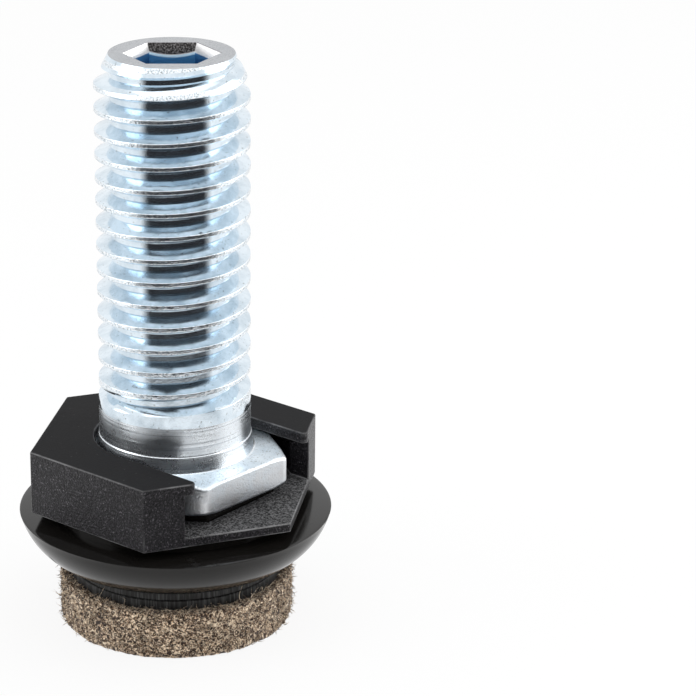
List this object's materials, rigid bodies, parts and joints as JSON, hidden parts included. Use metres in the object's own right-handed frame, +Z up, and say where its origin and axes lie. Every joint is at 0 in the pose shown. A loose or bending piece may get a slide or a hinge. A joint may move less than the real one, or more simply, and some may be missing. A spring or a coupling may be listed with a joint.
{
  "type": "adjustable cabinet leg",
  "caption": "Short screw-in levelling leg: threaded steel stud with a socket end, held by its hexagonal head in a black hexagonal foot on a round disc with a felt pad.",
  "frame": {"origin": "centre of the felt pad's underside, where the leg stands on the floor", "axes": "+Z up along the stud's axis, +X out of the housing's slot, through one corner of the hexagonal housing"},
  "size_m": [0.0205, 0.0204, 0.0382],
  "materials": {
    "zinc_steel": "bright blue-white zinc plating",
    "matt_black_plastic": "fine spark-eroded grain",
    "gloss_black_plastic": "smooth, semi-gloss",
    "wool_felt": "mottled beige-brown wool felt with loose fibres"
  },
  "bodies": {
    "foot": {"hex_housing": "matt_black_plastic", "glide_disc": "gloss_black_plastic", "felt_pad": "wool_felt"},
    "stud": {"threaded_stud": "zinc_steel"}
  },
  "joints": [
    {"name": "stud_swivel", "type": "hinge", "parent": "foot", "child": "stud", "pos_m": [0, 0, 0.00965], "axis": [0, 0, 1], "continuous": true}
  ]
}
